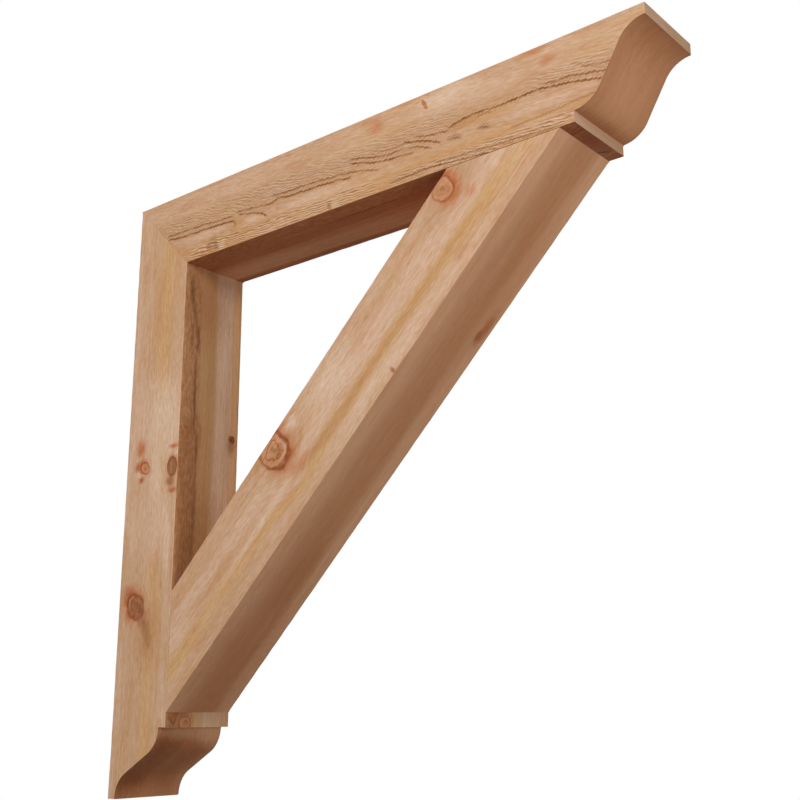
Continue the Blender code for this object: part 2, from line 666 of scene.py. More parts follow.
    def _ground(self, graph: Graph, straight: object, place: object) -> object:
        """The wood away from its marks.

        Args:
            graph: The material's nodes.
            straight: The place in the timber.
            place: The same, pressed round the knots.

        Returns:
            The colour's socket.
        """
        parts = graph.node("SeparateXYZ", {0: place}).outputs
        if self.face is Face.SIDE:
            share = graph.maths("DIVIDE", parts[1], self.extent[0])
        else:
            share = graph.maths("MULTIPLY_ADD", parts[2], 1 / self.extent[1], 0.5)
        drift = graph.fine(straight, self._waves(2.4, 20), 3.0)
        share = graph.swayed(share, drift, self.drift)
        colour = graph.stripes(share, self.stripes)
        if self.back_stripes:
            outer = graph.maths("LESS_THAN", parts[1], self.extent[0] / 2)
            colour = graph.mix(outer, colour, graph.stripes(share, self.back_stripes))
        for shift, tone in ((3.0, self.warm), (8.0, self.pale)):
            patch = graph.fine(straight, self._waves(5, 34), 3.0, shift)
            colour = graph.mix(graph.ease(patch, 0.47, 0.70, 0.0, self.mottle), colour, tone)
        flecks = graph.fine(straight, self._waves(11, 100), 3.0, 5.0)
        colour = graph.mix(graph.ease(flecks, 0.48, 0.7, 0.0, self.flecks), colour, Tone.AMBER)
        along = graph.maths("MULTIPLY", parts[0], self.slope)
        from_pith = graph.vector("SUBTRACT", place, (0, self.pith[0], self.pith[1]))
        shifted = graph.vector("SUBTRACT", from_pith, graph.node("CombineXYZ", {1: along}).outputs[0])
        radius = graph.measure("LENGTH", graph.vector("MULTIPLY", shifted, (0, 1, 1)))
        radius = graph.swayed(radius, graph.fine(straight, self._waves(4, 12), 3.0), YEARS_BEND)
        inputs = {"W": radius, "Scale": YEARS, "Detail": 2.0}
        years = graph.node("TexNoise", inputs, noise_dimensions="1D").outputs["Fac"]
        return graph.mix(graph.ease(years, 0.5, 0.72, 0.0, self.rings), colour, self.ring_tone)

    def _tear_colour_and_painted_light(self, graph: Graph, colour: object, straight: object) -> object:
        """Lays painted shadow along the torn lines, partly on darker torn fibres, and painted shade
        at the foot of each ridge, with a painted highlight on the edge above each line and on each
        crest.

        Args:
            graph: The material's nodes.
            colour: The wood so far.
            straight: The place in the timber.

        Returns:
            The colour's socket.
        """
        layers = [graph.node("Attribute", attribute_name=name).outputs["Fac"] for name in CUT_LAYERS]
        off, torn, ridge, ridged = layers
        along = graph.node("SeparateXYZ", {0: straight}).outputs[0]
        frayed = graph.fine(straight, (120, 300, 300), 3.0, 2.0)
        swing = graph.fine(straight, (25, 25, 25), 1.0, 6.0)
        swing = graph.maths("MULTIPLY", swing, 3.0)
        tooth = graph.maths("FRACT", graph.maths("MULTIPLY_ADD", along, TEETH_PER_METRE, swing))
        off = graph.swayed(graph.swayed(off, tooth, TOOTH), frayed, FRAY)
        patchy = graph.ease(frayed, 0.3, 0.55, 0.6, 1.0)
        gap = graph.maths("ABSOLUTE", off)
        fringe = graph.product(graph.ease(gap, *FRINGE, 0.8, 0.0), patchy, torn)
        # The core is painted shadow under the tear's ledge, on darker torn fibres; the lip is a painted
        # highlight on the raised edge above the line.
        core_shadow_and_fibre = graph.product(graph.ease(gap, *CORE_SHADOW_AND_FIBRE, 0.9, 0.0), patchy, torn)
        lip_highlight = graph.product(graph.between(off, *LIP_HIGHLIGHT), torn)
        again = graph.maths("ABSOLUTE", graph.maths("ADD", off, ECHO_PLACE))
        echo = graph.product(graph.ease(again, *ECHO, 0.6, 0.0), patchy, torn)
        part = graph.maths("FRACT", graph.swayed(ridge, frayed, 0.5))
        # Painted shade at the foot of each ridge and a painted highlight on its crest.
        foot = graph.product(graph.between(part, *FOOT_SHADE), ridged)
        crest_highlight = graph.product(graph.between(part, *CREST_HIGHLIGHT), ridged)
        # Lays the painted shade and highlights of the ridges and the lip, then the echo, the fringe and the
        # painted shadow of the core.
        colour = graph.mix(graph.maths("MULTIPLY", foot, 0.4), colour, Tone.TOBACCO)
        colour = graph.mix(graph.maths("MULTIPLY", crest_highlight, 0.45), colour, Tone.PALE)
        colour = graph.mix(graph.maths("MULTIPLY", lip_highlight, 0.65), colour, Tone.PALE)
        colour = graph.mix(echo, colour, Tone.TOBACCO)
        colour = graph.mix(fringe, colour, Tone.OCHRE)
        return graph.mix(core_shadow_and_fibre, colour, Tone.TOBACCO)

    def _stain(
        self, graph: Graph, colour: object, straight: object, ragged: object, smudge: Smudge
    ) -> object:
        """Lays a smudge over the wood.

        Args:
            graph: The material's nodes.
            colour: The wood so far.
            straight: The place in the timber.
            ragged: The noise that frays the smudge.
            smudge: The smudge.

        Returns:
            The colour's socket.
        """
        centre, turn, half = self._ellipse(smudge, 0.02)
        inputs = {"Vector": straight, "Location": centre, "Rotation": turn, "Scale": half}
        reach = graph.measure("LENGTH", graph.node("Mapping", inputs, vector_type="TEXTURE").outputs[0])
        reach = graph.swayed(reach, ragged, 1.0)
        return graph.mix(graph.ease(reach, 0.2, 1.3, smudge.strength, 0.0), colour, smudge.tone)

    def _knot(self, graph: Graph, colour: object, field: tuple, knot: Knot) -> object:
        """Lays a knot over the wood: a stained glow, a heart with rings, and the rim.

        Args:
            graph: The material's nodes.
            colour: The wood so far.
            field: What the knot's group gives.
            knot: The knot.

        Returns:
            The colour's socket.
        """
        _, local, reach = field
        across = (0, math.sin(knot.towards), 0) if self.face is Face.SIDE else (0, 0, math.sin(knot.towards))
        aim = (math.cos(knot.towards), across[1], across[2])
        facing = graph.measure("DOT_PRODUCT", graph.vector("NORMALIZE", local), aim)
        blotchy = graph.fine(local, (2.2, 2.2, 2.2), 3.0, 5.0)
        patchy = graph.ease(blotchy, 0.36, 0.54, 0.65, 1.0)
        side = graph.ease(facing, -0.8, 0.7, 0.25, 1.0)
        glow = graph.product(graph.ease(reach, *STAIN, knot.glow, 0.0), patchy, side)
        colour = graph.mix(glow, colour, Tone.AMBER)
        inputs = {"W": graph.maths("MULTIPLY_ADD", blotchy, 0.9, reach), "Scale": 5.0, "Detail": 1.0}
        years = graph.node("TexNoise", inputs, noise_dimensions="1D").outputs["Fac"]
        heart = graph.mix(graph.ease(blotchy, 0.42, 0.62, 0.0, 0.5), knot.heart, Tone.OCHRE)
        heart = graph.mix(graph.ease(years, 0.48, 0.62, 0.0, knot.rings), heart, Tone.RUSSET)
        heart = graph.mix(graph.ease(reach, *CENTRE, 0.6, 0.0), heart, Tone.UMBER)
        crescent = graph.ease(facing, 0.45, 0.85, 0.0, knot.crescent)
        heart = graph.mix(graph.product(graph.between(reach, *CRESCENT_BAND), crescent), heart, Tone.PALE)
        colour = graph.mix(graph.ease(reach, *HEART, 0.9, 0.0), colour, heart)
        strength = graph.ease(facing, -1.0, 0.1, 0.45 * knot.rim, knot.rim)
        rim = graph.product(graph.between(reach, *RIM), patchy, strength)
        halo = graph.product(graph.between(reach, *HALO), patchy, side, 0.5 * knot.rim)
        return graph.mix(rim, graph.mix(halo, colour, Tone.EMBER), knot.rim_tone)


def ogee_profile(depth: float) -> list[tuple[float, float]]:
    """The end cut, as in the solids.

    Args:
        depth: The timber's depth.

    Returns:
        Points as (v, distance from the timber's end), from the nose to the step.
    """
    half_across = (depth - OGEE_STEP - OGEE_NOSE) / 2
    half_along = OGEE_LENGTH / 2
    turned_across = 1 - math.cos(OGEE_TURN)
    turned_along = math.sin(OGEE_TURN)
    radius = (half_across * math.cos(OGEE_TURN) - half_along * math.sin(OGEE_TURN)) / (
        turned_across * math.cos(OGEE_TURN) - turned_along * math.sin(OGEE_TURN)
    )
    hollow = []
    for i in range(ARC_SEGMENTS + 1):
        angle = OGEE_TURN * i / ARC_SEGMENTS
        hollow.append((OGEE_NOSE + radius * (1 - math.cos(angle)), radius * math.sin(angle)))
    swell = [(OGEE_NOSE + depth - OGEE_STEP - a, OGEE_LENGTH - b) for a, b in reversed(hollow)]
    return hollow + swell


@dataclass
class Timber:
    """One sawn timber: a lattice of faces laid over its solid's form, then carved by the saw.

    near, far and edges say how the saw left its faces. rows, columns and lines are how many
    faces it has across its sides, across its edges and along its length, and near_cuts how
    often each row of the near side is split again. arris is how much its long corners are worn.
    """

    node: str
    grain: Grain
    length: float
    depth: float
    width: float
    near: Sawing
    far: Sawing
    edges: Sawing
    finishes: tuple[WoodFinish, ...]
    rows: int = 90
    columns: int = 36
    lines: int = 240
    near_cuts: int = 0
    arris: float = 0.0005

    def blank(self) -> bmesh.types.BMesh:
        """The lattice before it has its form, with s, t and r running from 0 to 1."""
        bm = bmesh.new()
        bmesh.ops.create_cube(bm, size=1.0)
        bmesh.ops.translate(bm, vec=(0.5, 0.5, 0.5), verts=bm.verts)
        self._divide(bm, 0, self.lines)
        self._divide(bm, 1, self.rows)
        self._divide(bm, 2, self.columns)
        return bm

    def form(self, s: float, t: float) -> tuple[float, float, Vector, Face]:
        """The point of the side for a point of the lattice.

        Args:
            s: Place along the lattice.
            t: Place across it, 0 on the outer edge.

        Returns:
            u, v, the inward direction as (u, v) where the point lies between the sides, and
            the kind of face that it lies on there.
        """
        v = self.depth * t
        u = v + (self.length - 2 * v) * s
        inward = Vector((0, 0))
        if t < NEARLY:
            inward = Vector((0, 1))
        elif t > 1 - NEARLY:
            inward = Vector((0, -1))
        return u, v, inward, Face.EDGE

    def in_joint(self, s: float) -> bool:
        """Whether a point of the lattice lies on a face that meets another timber."""
        return s < NEARLY or s > 1 - NEARLY

    def build(self) -> bpy.types.Object:
        """Builds the timber and dresses it.

        Returns:
            The finished object, riding on the bracket.
        """
        bm = self.blank()
        self._divide_near_side(bm)
        layers = [bm.verts.layers.float.new(name) for name in CUT_LAYERS]
        for face in bm.faces:
            face.material_index = self._kind(face.calc_center_median()).value
        for vert in bm.verts:
            vert.co, cut = self._carved(*vert.co)
            for layer, name in zip(layers, CUT_LAYERS):
                vert[layer] = getattr(cut, name)
        bmesh.ops.recalc_face_normals(bm, faces=bm.faces)
        mesh = bpy.data.meshes.new(self.node + "_timber")
        bm.to_mesh(mesh)
        bm.free()
        mesh.shade_smooth()
        mesh.set_sharp_from_angle(angle=SHARP_ANGLE)
        for finish in self.finishes:
            mesh.materials.append(finish.material())
        made = bpy.data.objects.new(self.node + "_timber", mesh)
        bpy.context.scene.collection.objects.link(made)
        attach(made, "root")
        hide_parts(self.node)
        log.info("%s: %d faces", made.name, len(mesh.polygons))
        return made

    def _divide(
        self, bm: bmesh.types.BMesh, axis: int, cells: int, low: float = 0.0, high: float = math.inf
    ) -> None:
        """Splits the lattice's unit edges into cells.

        Args:
            bm: The lattice.
            axis: The direction of the edges: 0, 1 or 2.
            cells: How many cells each edge becomes.
            low: The least place on that axis for an edge's middle.
            high: The greatest.
        """
        edges = [
            e
            for e in bm.edges
            if abs(e.verts[0].co[axis] - e.verts[1].co[axis]) > 0.9
            and low <= (e.verts[0].co[axis] + e.verts[1].co[axis]) / 2 <= high
        ]
        bmesh.ops.subdivide_edges(bm, edges=edges, cuts=cells - 1, use_grid_fill=True)

    def _divide_near_side(self, bm: bmesh.types.BMesh) -> None:
        """Splits the near side's rows again, where its carving is finer than the far side's."""
        if not self.near_cuts:
            return
        edges = [
            e
            for e in bm.edges
            if max(v.co.z for v in e.verts) < NEARLY and abs(e.verts[0].co.x - e.verts[1].co.x) < NEARLY
        ]
        bmesh.ops.subdivide_edges(bm, edges=edges, cuts=self.near_cuts, use_grid_fill=True)

    def _carved(self, s: float, t: float, r: float) -> tuple[Vector, Cut]:
        """Where a point of the lattice ends up, and what the saw did to it.

        Args:
            s: Place along the lattice.
            t: Place across it.
            r: Place across the width, 0 on the near side.

        Returns:
            The point in the bracket's frame, and the cut of the side it lies on.
        """
        u, v, inward, kind = self.form(s, t)
        w = (r - 0.5) * self.width
        du = dv = dw = 0.0
        cut = Cut()
        on_side = r < NEARLY or r > 1 - NEARLY
        if on_side:
            sawing = self.near if r < NEARLY else self.far
            cut = sawing.cut(u, v, 1.0 if r < NEARLY else 2.0)
            inside = 1 if r < NEARLY else -1
            dw = inside * cut.depth
        if inward.length > 0.5 and not self.in_joint(s):
            along = u if kind is Face.EDGE else u + v
            drop = self.edges.cut(along, w, 3.0 if t < NEARLY else 4.0).depth
            if on_side:
                ease = self.arris * (0.4 + ripple(u, v, 45, 30, 6.0))
                drop += ease
                dw += inside * ease
            du, dv = inward.x * drop, inward.y * drop
        return self.grain.place(u + du, v + dv, w + dw), cut

    def _kind(self, middle: Vector) -> Face:
        """Which finish a face of the lattice takes, from its middle."""
        if middle.z < NEARLY or middle.z > 1 - NEARLY:
            return Face.SIDE
        return self.form(middle.x, middle.y)[3]


@dataclass
class OgeeTimber(Timber):
    """A timber mitred at u = 0, with a stepped ogee cut into its free end.

    joint is how far the mitre stands back from the corner. end_lines are the lattice's lines
    along the ogee, and step_rows its rows over the step.
    """

    joint: float = field(kw_only=True)
    end_lines: int = 58
    step_rows: int = 12

    def __post_init__(self) -> None:
        """Works out the end cut once."""
        self.profile = ogee_profile(self.depth)

    def blank(self) -> bmesh.types.BMesh:
        """The lattice: two cells along by two across, without the cell that the ogee takes."""
        bm = bmesh.new()
        bmesh.ops.create_grid(bm, x_segments=2, y_segments=2, size=1.0)
        bmesh.ops.translate(bm, vec=(1, 1, 0), verts=bm.verts)
        cut_away = [f for f in bm.faces if min(f.calc_center_median()[:2]) > 1]
        bmesh.ops.delete(bm, geom=cut_away, context="FACES")
        swept = bmesh.ops.extrude_face_region(bm, geom=bm.faces[:])["geom"]
        moved = [v for v in swept if isinstance(v, bmesh.types.BMVert)]
        bmesh.ops.translate(bm, vec=(0, 0, 1), verts=moved)
        self._divide(bm, 0, self.lines, 0, 1)
        self._divide(bm, 0, self.end_lines, 1, 2)
        self._divide(bm, 1, self.rows - self.step_rows, 0, 1)
        self._divide(bm, 1, self.step_rows, 1, 2)
        self._divide(bm, 2, self.columns)
        return bm

    def form(self, s: float, t: float) -> tuple[float, float, Vector, Face]:
        """The point of the side for a point of the lattice, as the plain timber gives it."""
        shaft = self.length - OGEE_LENGTH
        inward = Vector((0, 0))
        kind = Face.EDGE
        if s <= 1 + NEARLY:
            v = (self.depth - OGEE_STEP) * min(t, 1) + OGEE_STEP * max(t - 1, 0)
            start = v + self.joint
            u = start + (shaft - start) * s
            if t > 2 - NEARLY:
                inward = Vector((0, -1))
            elif s > 1 - NEARLY and t > 1:
                inward, kind = Vector((-1, 0)), Face.SQUARE
        else:
            from_end = OGEE_LENGTH * (2 - s)
            limit, slope = self._limit(from_end)
            v = limit * t
            u = self.length - from_end
            if s > 2 - NEARLY:
                inward, kind = Vector((-1, 0)), Face.SQUARE
            elif t > 1 - NEARLY:
                inward, kind = Vector((-math.sin(slope), -math.cos(slope))), Face.CURVE
        if t < NEARLY:
            inward, kind = Vector((0, 1)), Face.EDGE
        return u, v, inward, kind

    def in_joint(self, s: float) -> bool:
        """Whether a point of the lattice lies on the mitre."""
        return s < NEARLY

    def _limit(self, from_end: float) -> tuple[float, float]:
        """How far the ogee lets the timber reach in v, so far from its end, and its slope."""
        for (v0, a0), (v1, a1) in zip(self.profile, self.profile[1:]):
            if from_end <= a1 + ROUNDING:
                return v0 + (v1 - v0) * (from_end - a0) / (a1 - a0), math.atan2(v1 - v0, a1 - a0)
        return self.profile[-1][0], 0.0


@dataclass
class Studio:
    """The floor, the lights and the camera that stands where the photographer stood."""

    aim: Vector
    lens: float = 52.117
    sensor: float = 36.0
    camera_place: tuple[float, float, float] = (1.6775, -1.3461, -0.3836)
    azimuth: float = math.radians(40.6585)
    elevation: float = math.radians(-15.7599)
    roll: float = math.radians(0.09)
    shift: tuple[float, float] = (0.0362, -0.0254)
    floor_level: float = -2.6
    floor_radius: float = 4.0
    floor_middle: float = 0.5
    floor_colour: tuple[float, float, float, float] = (0.86, 0.86, 0.85, 1.0)
    floor_roughness: float = 0.9

    def camera(self) -> None:
        """Sets up the camera."""
        data = bpy.data.cameras.new("camera")
        data.lens, data.sensor_width = self.lens, self.sensor
        data.shift_x, data.shift_y = self.shift
        made = bpy.data.objects.new("camera", data)
        turn = Euler((math.pi / 2 - self.elevation, 0, self.azimuth)).to_matrix().to_4x4()
        made.matrix_world = Matrix.Translation(self.camera_place) @ turn @ Matrix.Rotation(self.roll, 4, "Z")
        bpy.context.scene.collection.objects.link(made)
        bpy.context.scene.camera = made

    def lamp(
        self, name: str, place: tuple[float, float, float], size: float, power: float
    ) -> None:
        """Adds a soft square lamp that faces the bracket.

        Args:
            name: The lamp's name.
            place: Where it stands.
            size: The side of its face.
            power: Its power in watts.
        """
        data = bpy.data.lights.new(name, "AREA")
        data.shape, data.size, data.energy = "SQUARE", size, power
        made = bpy.data.objects.new(name, data)
        made.location = place
        made.rotation_euler = (self.aim - Vector(place)).to_track_quat("-Z", "Y").to_euler()
        bpy.context.scene.collection.objects.link(made)

    def floor(self) -> None:
        """Lays a pale round floor well below the bracket."""
        bm = bmesh.new()
        bmesh.ops.create_circle(bm, cap_ends=True, radius=self.floor_radius, segments=96)
        bmesh.ops.translate(bm, vec=(self.floor_middle, 0, self.floor_level), verts=bm.verts)
        mesh = bpy.data.meshes.new("floor")
        bm.to_mesh(mesh)
        bm.free()
        paint = bpy.data.materials.new("floor_paint")
        paint.use_nodes = True
        shader = paint.node_tree.nodes["Principled BSDF"]
        shader.inputs["Base Color"].default_value = self.floor_colour
        shader.inputs["Roughness"].default_value = self.floor_roughness
        mesh.materials.append(paint)
        made = bpy.data.objects.new("floor", mesh)
        made.visible_diffuse = False
        bpy.context.scene.collection.objects.link(made)

    def sky(self, ambient: float, tint: tuple[float, float, float, float]) -> None:
        """A white ground behind the bracket, and a dimmer, warmer light from all round it.

        Args:
            ambient: The strength of the light from all round.
            tint: Its colour.
        """
        world = bpy.data.worlds.new("studio")
        world.use_nodes = True
        graph = Graph(world.node_tree)
        background = world.node_tree.nodes["Background"]
        seen = graph.node("LightPath").outputs["Is Camera Ray"]
        strength = graph.ease(seen, 0.0, 1.0, ambient, 1.0)
        world.node_tree.links.new(graph.mix(seen, tint, (1, 1, 1, 1)), background.inputs["Color"])
        world.node_tree.links.new(strength, background.inputs["Strength"])
        bpy.context.scene.world = world
        bpy.context.scene.view_settings.view_transform = "Standard"


def arm_tears() -> tuple[Tear, ...]:
    """The torn lines on the arm's near side."""
    return (
        Tear(
            ((0.078, 0.081), (0.13, 0.086), (0.18, 0.087), (0.225, 0.089), (0.258, 0.092), (0.268, 0.1)),
            0.0013, 0.012,
        ),
        Tear(((0.074, 0.074), (0.13, 0.075), (0.18, 0.077), (0.215, 0.080), (0.262, 0.083)), 0.0008),
        Tear(((0.268, 0.083), (0.300, 0.089), (0.320, 0.094), (0.335, 0.100), (0.347, 0.108)), 0.0013, 0.012),
        Tear(((0.262, 0.077), (0.300, 0.080), (0.320, 0.083), (0.345, 0.086), (0.366, 0.088)), 0.0009),
        Tear(
            ((0.345, 0.089), (0.372, 0.081), (0.395, 0.085), (0.45, 0.087), (0.505, 0.090), (0.540, 0.095)),
            0.0013, 0.012,
        ),
        Tear(
            ((0.350, 0.073), (0.40, 0.076), (0.45, 0.077), (0.48, 0.080), (0.52, 0.083), (0.56, 0.090)),
            0.0008,
        ),
        Tear(
            ((0.530, 0.069), (0.56, 0.076), (0.58, 0.083), (0.60, 0.087), (0.63, 0.089), (0.67, 0.093)),
            0.0011,
        ),
        Tear(((0.530, 0.061), (0.560, 0.068), (0.585, 0.075), (0.61, 0.079), (0.65, 0.080)), 0.0008),
        Tear(((0.535, 0.085), (0.560, 0.090), (0.585, 0.097), (0.60, 0.101)), 0.0008),
        Tear(((0.590, 0.070), (0.62, 0.071), (0.66, 0.073)), 0.0005),
        Tear(((0.640, 0.068), (0.670, 0.075), (0.700, 0.084), (0.722, 0.094)), 0.0011),
        Tear(((0.650, 0.080), (0.672, 0.085), (0.690, 0.092), (0.705, 0.097)), 0.0008),
        Tear(((0.665, 0.066), (0.69, 0.073), (0.712, 0.075), (0.735, 0.079)), 0.0008),
        Tear(
            ((0.730, 0.076), (0.755, 0.069), (0.785, 0.067), (0.82, 0.070), (0.87, 0.068), (0.905, 0.069)),
            0.0014, 0.014,
        ),
        Tear(((0.780, 0.073), (0.81, 0.074), (0.84, 0.072), (0.86, 0.072)), 0.0007),
        Tear(((0.89, 0.068), (0.905, 0.070), (0.93, 0.074), (0.96, 0.080), (1.0, 0.089)), 0.0011, 0.012),
        Tear(((0.90, 0.063), (0.95, 0.068), (0.985, 0.075), (1.02, 0.082)), 0.0008),
        Tear(((0.96, 0.058), (0.985, 0.063), (1.02, 0.068)), 0.0006),
        Tear(((0.728, 0.093), (0.742, 0.094), (0.76, 0.098)), 0.0008),
        Tear(((0.782, 0.093), (0.795, 0.094), (0.812, 0.099)), 0.0008),
        Tear(((0.84, 0.113), (0.90, 0.111), (0.99, 0.106)), 0.0004),
        Tear(((0.615, 0.130), (0.65, 0.129), (0.70, 0.128), (0.76, 0.134), (0.81, 0.139)), 0.0009, 0.005),
        Tear(((0.70, 0.124), (0.77, 0.127), (0.84, 0.132), (0.92, 0.137)), 0.0006, 0.005),
    )


def leg_finishes(grain: Grain, extent: tuple[float, float]) -> tuple[WoodFinish, ...]:
    """The leg's finishes.

    Args:
        grain: Where the leg lies.
        extent: Its depth and width.

    Returns:
        One finish for each kind of face.
    """
    side = WoodFinish(
        "leg_side_wood", grain, Face.SIDE, extent,
        ((0.0, Tone.BLUSH), (0.14, Tone.SAND), (0.42, Tone.SAND), (0.55, Tone.STRAW), (0.68, Tone.STRAW),
         (0.82, Tone.SAND), (1.0, Tone.SAND)),
        marks=(
            Smudge(0.43, 0.100, 0.095, 0.060, Tone.PALE, 0.8),
            Smudge(0.43, 0.030, 0.110, 0.045, Tone.BLUSH, 0.8),
            Smudge(0.61, 0.080, 0.080, 0.080, Tone.BLUSH, 0.9),
            Smudge(0.53, 0.085, 0.050, 0.020, Tone.PALE, 0.7),
            Smudge(0.80, 0.080, 0.070, 0.034, Tone.OCHRE, 0.75),
            Smudge(0.473, 0.037, 0.020, 0.015, Tone.AMBER, 0.9),
            Smudge(0.506, 0.037, 0.012, 0.016, Tone.EMBER, 0.95),
            Smudge(0.519, 0.040, 0.008, 0.014, Tone.PALE, 0.9),
            Smudge(0.530, 0.043, 0.007, 0.008, Tone.EMBER, 0.95, lean=0.5),
            Smudge(0.541, 0.122, 0.012, 0.012, Tone.RUSSET, 0.8),
            Smudge(0.557, 0.128, 0.006, 0.014, Tone.EMBER, 0.8),
            Smudge(0.479, 0.127, 0.005, 0.014, Tone.AMBER, 1.0),
            Smudge(0.655, 0.121, 0.070, 0.010, Tone.PALE, 0.6),
            Smudge(0.493, 0.130, 0.008, 0.010, Tone.PALE, 0.9),
            Smudge(0.795, 0.078, 0.040, 0.012, Tone.TOBACCO, 0.45, lean=0.3),
            Smudge(0.733, 0.027, 0.018, 0.016, Tone.RUSSET, 0.95, lean=0.8),
            Knot(
                0.5094, 0.0528, 0.0125, 0.0095, Tone.CLAY, Tone.EMBER, 1.1, lean=0.95, towards=3.6, glow=1.0
            ),
            Knot(
                0.5158, 0.1245, 0.0165, 0.0120, Tone.HAZEL, Tone.UMBER, 1.0, towards=2.6, glow=0.6, rings=0.8
            ),
            Knot(
                0.7520, 0.0473, 0.0260, 0.0210, Tone.HAZEL, Tone.RUSSET, 1.0,
                lean=0.85, towards=3.4, glow=1.0, rings=0.9, crescent=0.25,
            ),
            Smudge(0.775, 0.060, 0.020, 0.010, Tone.UMBER, 0.5, lean=0.9),
            Knot(0.300, 0.060, 0.014, 0.012, Tone.OCHRE, rim=0.6, opposite=True),
            Knot(0.812, 0.094, 0.018, 0.015, Tone.OCHRE, lean=0.5, rim=0.6, opposite=True),
        ),
    )
    edge = WoodFinish(
        "leg_edge_wood", grain, Face.EDGE, extent,
        ((0.0, Tone.OCHRE), (0.24, Tone.OCHRE), (0.31, Tone.STRAW), (0.50, Tone.STRAW), (0.61, Tone.MILK),
         (0.80, Tone.MILK), (0.90, Tone.CREAM), (1.0, Tone.CREAM)),
        back_stripes=((0.0, Tone.SAND), (0.5, Tone.TAN), (1.0, Tone.SAND)),
        marks=(
            Smudge(0.200, -0.005, 0.100, 0.055, Tone.CHESTNUT, 0.5),
            Smudge(0.450, 0.006, 0.260, 0.012, Tone.STRAW, 0.5),
            Smudge(0.355, -0.038, 0.060, 0.004, Tone.UMBER, 0.55),
            Smudge(0.410, -0.037, 0.050, 0.0025, Tone.UMBER, 0.6),
            Smudge(0.490, -0.029, 0.050, 0.003, Tone.UMBER, 0.6),
            Smudge(0.575, -0.029, 0.060, 0.005, Tone.UMBER, 0.6),
            Smudge(0.650, -0.031, 0.060, 0.005, Tone.UMBER, 0.5),
            Smudge(0.500, -0.045, 0.200, 0.028, Tone.UMBER, 0.3),
            Smudge(0.230, -0.045, 0.080, 0.006, Tone.UMBER, 0.5, lean=0.2),
            Smudge(0.280, -0.034, 0.030, 0.006, Tone.UMBER, 0.5),
            Smudge(0.190, -0.052, 0.030, 0.006, Tone.UMBER, 0.5),
            Smudge(0.280, -0.050, 0.030, 0.006, Tone.UMBER, 0.4),
            Smudge(0.640, 0.010, 0.090, 0.080, Tone.TOBACCO, 0.3),
            Smudge(0.939, -0.040, 0.030, 0.034, Tone.CHESTNUT, 0.9),
            Smudge(0.939, -0.045, 0.030, 0.034, Tone.TOBACCO, 0.5),
            Smudge(0.939, 0.040, 0.030, 0.050, Tone.SAND, 0.8),
            Smudge(0.939, 0.063, 0.030, 0.014, Tone.CORAL, 0.8),
            Knot(0.9430, -0.0290, 0.011, 0.013, Tone.OCHRE, Tone.UMBER, 0.5, press=0.9, rings=0.9),
            Smudge(0.940, -0.058, 0.010, 0.003, Tone.UMBER, 0.7, lean=0.9),
            Smudge(0.942, -0.050, 0.010, 0.003, Tone.UMBER, 0.7, lean=-0.9),
            Knot(0.4540, -0.0690, 0.020, 0.020, Tone.OCHRE, rim=0.25, glow=0.1, press=0.85, rings=0.5),
            Smudge(0.463, 0.053, 0.018, 0.011, Tone.OCHRE, 0.9),
            Knot(0.4487, 0.0547, 0.0066, 0.0062, Tone.BARK, Tone.UMBER, 0.5, glow=0.5, towards=-0.6),
        ),
        strands=EVEN, warm=Tone.OCHRE, pale=Tone.PEACH, mottle=0.25, drift=0.06, flecks=0.1, coarse=True,
        pith=(0.150, -0.066), slope=0.03, rings=0.2, ring_tone=Tone.OCHRE,
    )
    curve = WoodFinish(
        "leg_curve_wood", grain, Face.CURVE, extent,
        ((0.0, Tone.HAZEL), (0.2, Tone.HAZEL), (0.5, Tone.CHESTNUT), (0.75, Tone.CHESTNUT), (1.0, Tone.CLAY)),
        marks=(
            Smudge(1.060, 0.0, 0.020, 0.090, Tone.CLAY, 0.4),
            Smudge(1.005, 0.0, 0.030, 0.090, Tone.HAZEL, 0.35),
            Smudge(0.955, 0.0, 0.018, 0.090, Tone.PEACH, 0.5),
            Smudge(0.960, 0.050, 0.024, 0.040, Tone.PEACH, 0.6),
        ),
        strands=EVEN, warm=Tone.CHESTNUT, pale=Tone.CHESTNUT, mottle=0.2, rings=0.0, flecks=0.1,
    )
    square = WoodFinish(
        "leg_square_wood", grain, Face.SQUARE, extent, ((0.0, Tone.FAWN), (1.0, Tone.SAND)),
        strands=EVEN, rings=0.0,
    )
    return side, edge, curve, square


